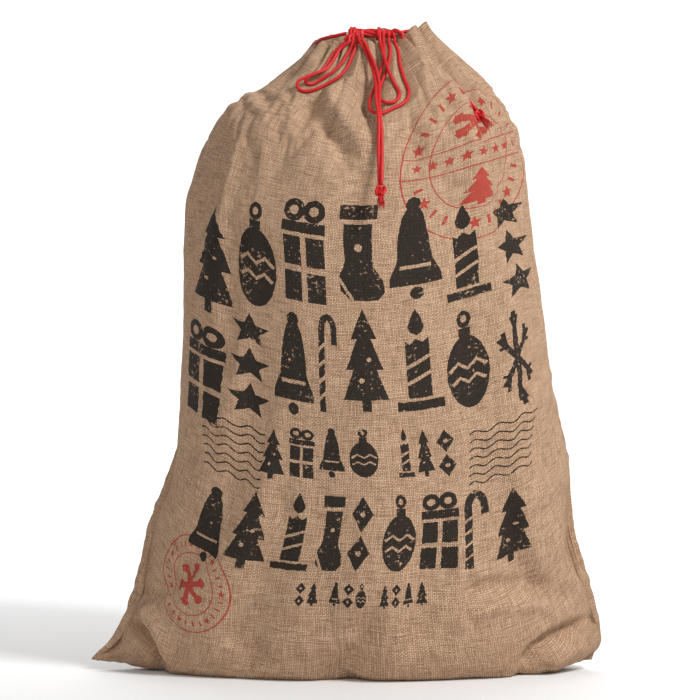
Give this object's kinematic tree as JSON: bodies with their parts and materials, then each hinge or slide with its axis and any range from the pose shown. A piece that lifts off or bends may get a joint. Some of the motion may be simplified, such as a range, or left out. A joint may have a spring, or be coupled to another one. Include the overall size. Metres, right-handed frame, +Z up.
{
  "type": "fabric gift sack",
  "caption": "Tall woven cloth gift sack, filled and standing on its base, with a sewn hem drawn in by two red cords tied in a bow at the front.",
  "frame": {"origin": "centre of the base, on the surface the sack stands on", "axes": "+Z up, -Y out of the printed front, +X to the right as seen from the front"},
  "size_m": [0.4939, 0.2923, 0.623],
  "materials": {
    "cloth": "matte",
    "thread": "matte",
    "cord": "satin"
  },
  "bodies": {
    "sack": {"front_panel": "cloth", "back_panel": "cloth", "left_side_seam": "cloth", "right_side_seam": "cloth", "bottom_seam": "cloth", "front_casing": "cloth", "back_casing": "cloth", "left_seam_thread": "thread", "right_seam_thread": "thread", "bottom_seam_thread": "thread", "front_hem_stitch": "thread", "back_hem_stitch": "thread", "left_drawcord": "cord", "right_drawcord": "cord", "bow_knot": "cord"},
    "left_loop": {"left_loop_outer": "cord", "left_loop_inner": "cord"},
    "right_loop": {"right_loop_outer": "cord", "right_loop_inner": "cord"},
    "front_tail": {"front_tail_left_strand": "cord", "front_tail_right_strand": "cord", "front_tail_end_knot": "cord", "front_tail_frayed_end": "cord"},
    "right_tail": {"right_tail_left_strand": "cord", "right_tail_right_strand": "cord", "right_tail_end_knot": "cord", "right_tail_frayed_end": "cord"}
  },
  "joints": [
    {"name": "left_loop_lift", "type": "hinge", "parent": "sack", "child": "left_loop", "pos_m": [0.0055, -0.049, 0.6045], "axis": [-1, 0, 0], "range_deg": [0, 75]},
    {"name": "right_loop_lift", "type": "hinge", "parent": "sack", "child": "right_loop", "pos_m": [0.039, -0.048, 0.6045], "axis": [-1, 0, 0], "range_deg": [0, 60]},
    {"name": "front_tail_lift", "type": "hinge", "parent": "right_loop", "child": "front_tail", "pos_m": [0.0145, -0.054, 0.605], "axis": [-1, 0, 0], "range_deg": [0, 75]},
    {"name": "right_tail_lift", "type": "hinge", "parent": "sack", "child": "right_tail", "pos_m": [0.0535, -0.047, 0.608], "axis": [0, -1, 0], "range_deg": [0, 90]}
  ]
}
